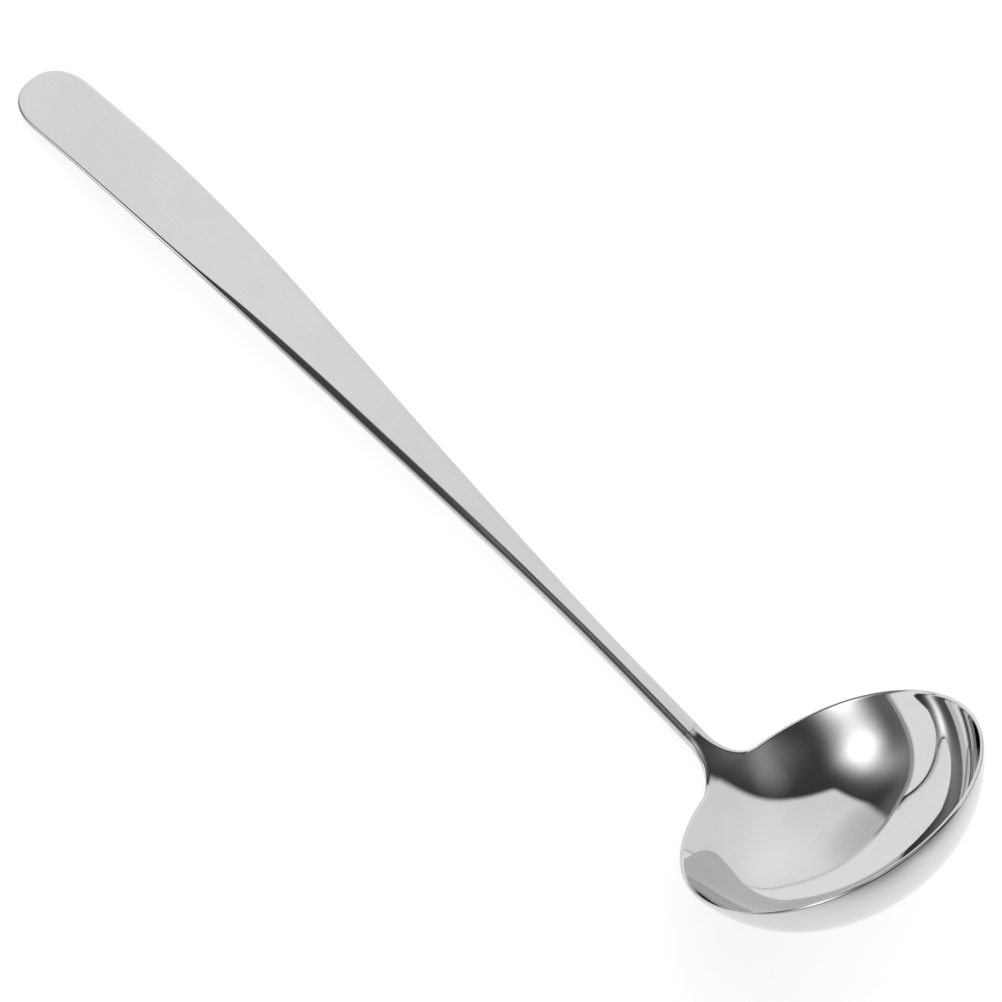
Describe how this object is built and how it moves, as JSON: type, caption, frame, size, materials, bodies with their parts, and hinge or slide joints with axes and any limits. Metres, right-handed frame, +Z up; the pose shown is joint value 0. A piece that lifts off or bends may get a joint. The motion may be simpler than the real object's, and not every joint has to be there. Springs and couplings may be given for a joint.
{
  "type": "soup ladle",
  "caption": "Polished stainless steel soup ladle with a round domed bowl, a long slim handle that widens into a flat round-ended paddle, and a flush weld at the neck.",
  "frame": {"origin": "middle of the ladle's bounding box, on the table that it lies on", "axes": "+X from the bowl to the tip of the handle, +Y across the ladle, +Z up; the ladle is mirrored in the plane Y = 0 and rests on the back of its bowl and on the tip of its handle"},
  "size_m": [0.31, 0.082, 0.0696],
  "materials": {
    "bowl_steel": "stainless steel sheet, mirror polished",
    "weld_steel": "stainless steel weld, ground flush and polished",
    "handle_steel": "stainless steel bar, mirror polished"
  },
  "bodies": {
    "root": {"bowl": "bowl_steel", "neck_weld": "weld_steel", "handle": "handle_steel"}
  },
  "joints": []
}
